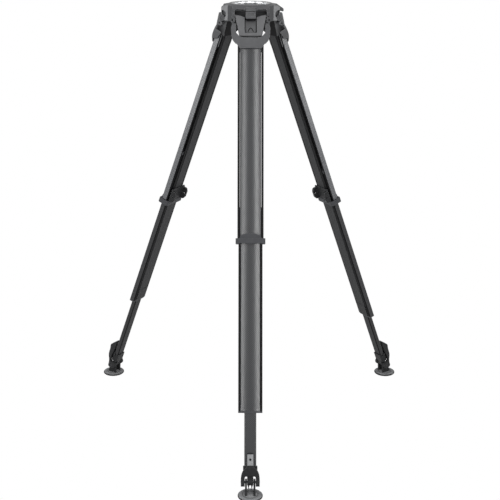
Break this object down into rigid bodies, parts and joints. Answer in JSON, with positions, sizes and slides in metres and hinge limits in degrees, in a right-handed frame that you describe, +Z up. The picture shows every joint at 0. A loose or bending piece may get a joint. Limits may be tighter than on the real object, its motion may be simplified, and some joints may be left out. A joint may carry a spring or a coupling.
{
  "type": "video camera tripod",
  "caption": "Tall camera support with a half-ball bowl, telescoping carbon-fibre legs, quick brake levers and pivoting rubber feet.",
  "frame": {"origin": "centre of the outline on the floor, at the height of the rubber soles", "axes": "+Z up; the front leg points along -Y, the left leg towards -X and the right leg towards +X, both also towards +Y"},
  "size_m": [1.0864, 0.951, 1.3851],
  "materials": {
    "casting": "dark grey powder coat on magnesium castings, fine grain, satin",
    "lock": "dark grey powder coat, satin, worn edges",
    "fork": "dark grey powder coat, satin",
    "bowl": "machined bright aluminium with fine turning lines",
    "carbon": "carbon fibre in clear resin, fine twill weave, satin gloss",
    "polymer": "glass-filled nylon, fine moulded grain",
    "pins": "turned stainless steel",
    "strap": "grey flexible rubber, matt",
    "rubber": "black moulded rubber, matt"
  },
  "bodies": {
    "crown": {"crown_casting": "casting", "bowl_ring": "bowl", "front_hip_pin": "pins", "left_hip_pin": "pins", "right_hip_pin": "pins"},
    "front_leg": {"front_hip_block": "casting", "front_brake_rod": "pins", "front_upper_tube": "carbon", "front_collar": "polymer", "front_spreader_bracket": "casting"},
    "front_lock": {"front_spread_lock": "lock"},
    "front_lever": {"front_brake_lever": "casting"},
    "front_mid": {"front_mid_tube": "carbon", "front_mid_bush": "polymer", "front_mid_end_cap": "polymer", "front_screw_plate": "polymer"},
    "front_lower": {"front_lower_tube": "carbon", "front_lower_bush": "polymer", "front_spike_fork": "fork", "front_ankle_pin": "pins", "front_foot_strap": "strap"},
    "front_foot": {"front_foot_pad": "rubber"},
    "left_leg": {"left_hip_block": "casting", "left_brake_rod": "pins", "left_upper_tube": "carbon", "left_collar": "polymer", "left_spreader_bracket": "casting"},
    "left_lock": {"left_spread_lock": "lock"},
    "left_lever": {"left_brake_lever": "casting"},
    "left_mid": {"left_mid_tube": "carbon", "left_mid_bush": "polymer", "left_mid_end_cap": "polymer", "left_screw_plate": "polymer"},
    "left_lower": {"left_lower_tube": "carbon", "left_lower_bush": "polymer", "left_spike_fork": "fork", "left_ankle_pin": "pins", "left_foot_strap": "strap"},
    "left_foot": {"left_foot_pad": "rubber"},
    "right_leg": {"right_hip_block": "casting", "right_brake_rod": "pins", "right_upper_tube": "carbon", "right_collar": "polymer", "right_spreader_bracket": "casting"},
    "right_lock": {"right_spread_lock": "lock"},
    "right_lever": {"right_brake_lever": "casting"},
    "right_mid": {"right_mid_tube": "carbon", "right_mid_bush": "polymer", "right_mid_end_cap": "polymer", "right_screw_plate": "polymer"},
    "right_lower": {"right_lower_tube": "carbon", "right_lower_bush": "polymer", "right_spike_fork": "fork", "right_ankle_pin": "pins", "right_foot_strap": "strap"},
    "right_foot": {"right_foot_pad": "rubber"}
  },
  "joints": [
    {"name": "front_hip", "type": "hinge", "parent": "crown", "child": "front_leg", "pos_m": [0, 0.07599, 1.3421], "axis": [-1, 0, 0], "range_deg": [-21, 39]},
    {"name": "front_lock", "type": "hinge", "parent": "crown", "child": "front_lock", "pos_m": [0, 0.06299, 1.3731], "axis": [-1, 0, 0], "range_deg": [0, 60]},
    {"name": "front_lever", "type": "hinge", "parent": "front_leg", "child": "front_lever", "pos_m": [0, 0.0681, 1.32585], "axis": [-1, 0, 0], "range_deg": [0, 55]},
    {"name": "front_mid_slide", "type": "slide", "parent": "front_leg", "child": "front_mid", "axis": [0, -0.3608, -0.9326], "range_m": [-0.453, 0.015]},
    {"name": "front_lower_slide", "type": "slide", "parent": "front_mid", "child": "front_lower", "axis": [0, -0.3608, -0.9326], "range_m": [-0.154, 0.188]},
    {"name": "front_foot_tilt", "type": "hinge", "parent": "front_lower", "child": "front_foot", "pos_m": [0, -0.42698, 0.042], "axis": [-1, 0, 0], "range_deg": [-40, 25]},
    {"name": "left_hip", "type": "hinge", "parent": "crown", "child": "left_leg", "pos_m": [-0.06062, 0.18099, 1.3421], "axis": [0.5, 0.866, 0], "range_deg": [-21, 39]},
    {"name": "left_lock", "type": "hinge", "parent": "crown", "child": "left_lock", "pos_m": [-0.07188, 0.18749, 1.3731], "axis": [0.5, 0.866, 0], "range_deg": [0, 60]},
    {"name": "left_lever", "type": "hinge", "parent": "left_leg", "child": "left_lever", "pos_m": [-0.06746, 0.18494, 1.32585], "axis": [0.5, 0.866, 0], "range_deg": [0, 55]},
    {"name": "left_mid_slide", "type": "slide", "parent": "left_leg", "child": "left_mid", "axis": [-0.3125, 0.1804, -0.9326], "range_m": [-0.361, 0.107]},
    {"name": "left_lower_slide", "type": "slide", "parent": "left_mid", "child": "left_lower", "axis": [-0.3125, 0.1804, -0.9326], "range_m": [-0.246, 0.096]},
    {"name": "left_foot_tilt", "type": "hinge", "parent": "left_lower", "child": "left_foot", "pos_m": [-0.49621, 0.43248, 0.042], "axis": [0.5, 0.866, 0], "range_deg": [-40, 25]},
    {"name": "right_hip", "type": "hinge", "parent": "crown", "child": "right_leg", "pos_m": [0.06062, 0.18099, 1.3421], "axis": [0.5, -0.866, 0], "range_deg": [-21, 39]},
    {"name": "right_lock", "type": "hinge", "parent": "crown", "child": "right_lock", "pos_m": [0.07188, 0.18749, 1.3731], "axis": [0.5, -0.866, 0], "range_deg": [-39, 21]},
    {"name": "right_lever", "type": "hinge", "parent": "right_leg", "child": "right_lever", "pos_m": [0.06746, 0.18494, 1.32585], "axis": [0.5, -0.866, 0], "range_deg": [0, 55]},
    {"name": "right_mid_slide", "type": "slide", "parent": "right_leg", "child": "right_mid", "axis": [0.3125, 0.1804, -0.9326], "range_m": [-0.431, 0.037]},
    {"name": "right_lower_slide", "type": "slide", "parent": "right_mid", "child": "right_lower", "axis": [0.3125, 0.1804, -0.9326], "range_m": [-0.176, 0.166]},
    {"name": "right_foot_tilt", "type": "hinge", "parent": "right_lower", "child": "right_foot", "pos_m": [0.49621, 0.43248, 0.042], "axis": [0.5, -0.866, 0], "range_deg": [-40, 25]}
  ]
}
